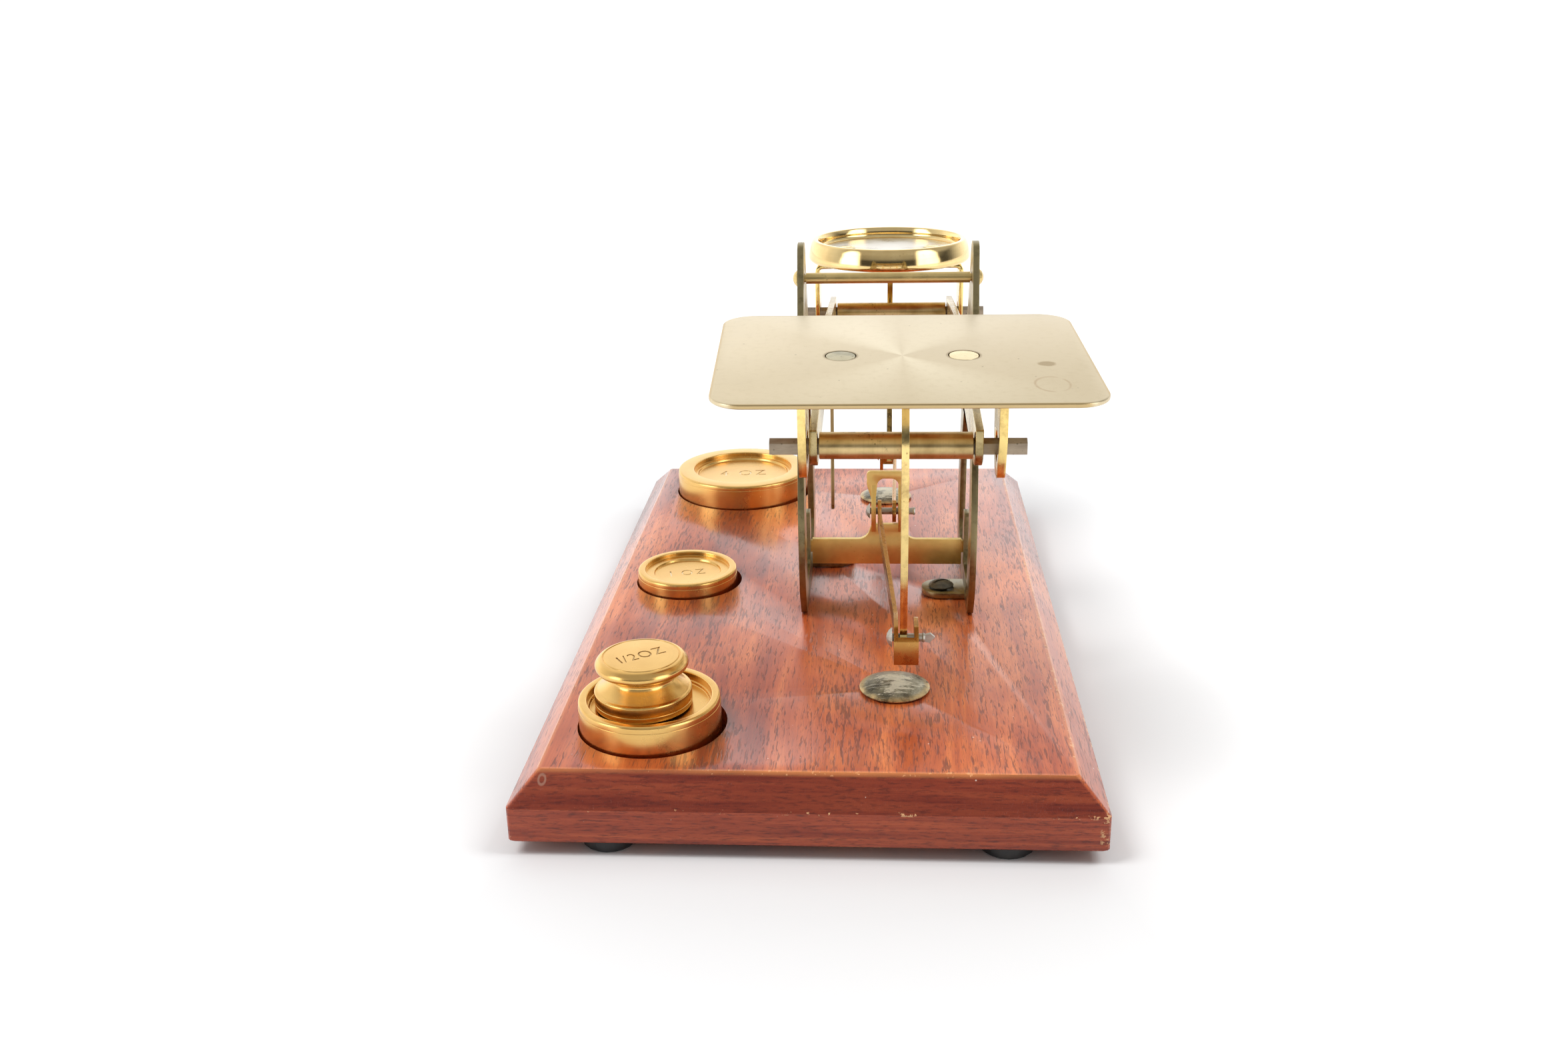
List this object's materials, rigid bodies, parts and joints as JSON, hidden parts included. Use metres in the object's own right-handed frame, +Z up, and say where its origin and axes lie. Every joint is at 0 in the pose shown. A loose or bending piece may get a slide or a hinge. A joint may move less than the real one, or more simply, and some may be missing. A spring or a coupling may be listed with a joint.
{
  "type": "letter scale",
  "caption": "Brass postal balance on a chamfered wooden base: a two-bar beam carries a letter plate and a round weight pan, with loose ring weights set in pockets.",
  "frame": {"origin": "on the table, below the middle of the base", "axes": "+X to the right of someone facing the letter plate, +Y from the letter plate to the weight pan, +Z up"},
  "size_m": [0.1016, 0.1778, 0.0896],
  "materials": {
    "mahogany": "reddish mahogany under worn gloss varnish",
    "black_rubber": "matt black rubber",
    "brass": "polished yellow brass with handling marks",
    "pale_brass": "pale satin brass sheet",
    "dull_brass": "dark tarnished brass sheet",
    "dull_steel": "dull grey-brown steel",
    "tarnished_plate": "silvered brass, worn and tarnished"
  },
  "bodies": {
    "base": {"wooden_base": "mahogany", "foot_front_left": "black_rubber", "foot_front_right": "black_rubber", "foot_rear_left": "black_rubber", "foot_rear_right": "black_rubber", "stop_disc_front": "tarnished_plate", "stop_disc_rear": "tarnished_plate", "frame_plate_right": "dull_brass", "frame_plate_left": "dull_brass", "frame_tie_bar": "brass", "frame_screw_right": "dull_steel", "frame_screw_left": "dull_steel", "stay_bracket": "brass", "stay_pivot_pin": "dull_steel"},
    "beam": {"beam_bar_right": "brass", "beam_bar_left": "brass", "knife_front": "dull_steel", "knife_centre": "dull_steel", "knife_rear": "dull_steel", "spacer_front": "brass", "spacer_centre": "brass", "spacer_rear": "brass", "pointer": "dull_brass"},
    "letter_pan": {"letter_plate": "pale_brass", "letter_carrier": "brass", "letter_stem": "brass", "letter_rivet_right": "brass", "letter_rivet_left": "brass"},
    "round_pan": {"weight_pan": "brass", "weight_carrier": "brass", "weight_stem": "brass", "weight_rivet_right": "brass", "weight_rivet_left": "brass"},
    "front_link": {"front_stay": "brass", "front_stay_pin": "dull_steel"},
    "rear_link": {"rear_stay": "brass", "rear_stay_pin": "dull_steel"},
    "two_ounce": {"weight_2_oz": "brass"},
    "one_ounce": {"weight_1_oz": "brass"},
    "four_ounce": {"weight_4_oz": "brass"},
    "half_ounce": {"weight_half_oz": "brass"}
  },
  "joints": [
    {"name": "beam_tilt", "type": "hinge", "parent": "base", "child": "beam", "pos_m": [0.014, 0.002, 0.0674], "axis": [1, 0, 0], "range_deg": [-5.9, 6]},
    {"name": "letter_pan_swing", "type": "hinge", "parent": "beam", "child": "letter_pan", "pos_m": [0.014, -0.0554, 0.063], "axis": [1, 0, 0], "range_deg": [-6.5, 6.5]},
    {"name": "weight_pan_swing", "type": "hinge", "parent": "beam", "child": "round_pan", "pos_m": [0.014, 0.0594, 0.063], "axis": [1, 0, 0], "range_deg": [-6.5, 6.5]},
    {"name": "front_stay_swing", "type": "hinge", "parent": "base", "child": "front_link", "pos_m": [0.014, 0.002, 0.0306], "axis": [1, 0, 0], "range_deg": [-6.5, 6.5]},
    {"name": "rear_stay_swing", "type": "hinge", "parent": "base", "child": "rear_link", "pos_m": [0.014, 0.002, 0.0306], "axis": [1, 0, 0], "range_deg": [-6.5, 6.5]},
    {"name": "two_ounce_lift", "type": "slide", "parent": "base", "child": "two_ounce", "axis": [0, 0, 1], "range_m": [0, 0.03]},
    {"name": "half_ounce_lift", "type": "slide", "parent": "two_ounce", "child": "half_ounce", "axis": [0, 0, 1], "range_m": [0, 0.02]},
    {"name": "one_ounce_lift", "type": "slide", "parent": "base", "child": "one_ounce", "axis": [0, 0, 1], "range_m": [0, 0.05]},
    {"name": "four_ounce_lift", "type": "slide", "parent": "base", "child": "four_ounce", "axis": [0, 0, 1], "range_m": [0, 0.05]}
  ],
  "couplings": [
    {"joint": "letter_pan_swing", "follows": "beam_tilt", "ratio": -1},
    {"joint": "weight_pan_swing", "follows": "beam_tilt", "ratio": -1},
    {"joint": "front_stay_swing", "follows": "beam_tilt", "ratio": 1},
    {"joint": "rear_stay_swing", "follows": "beam_tilt", "ratio": 1}
  ]
}
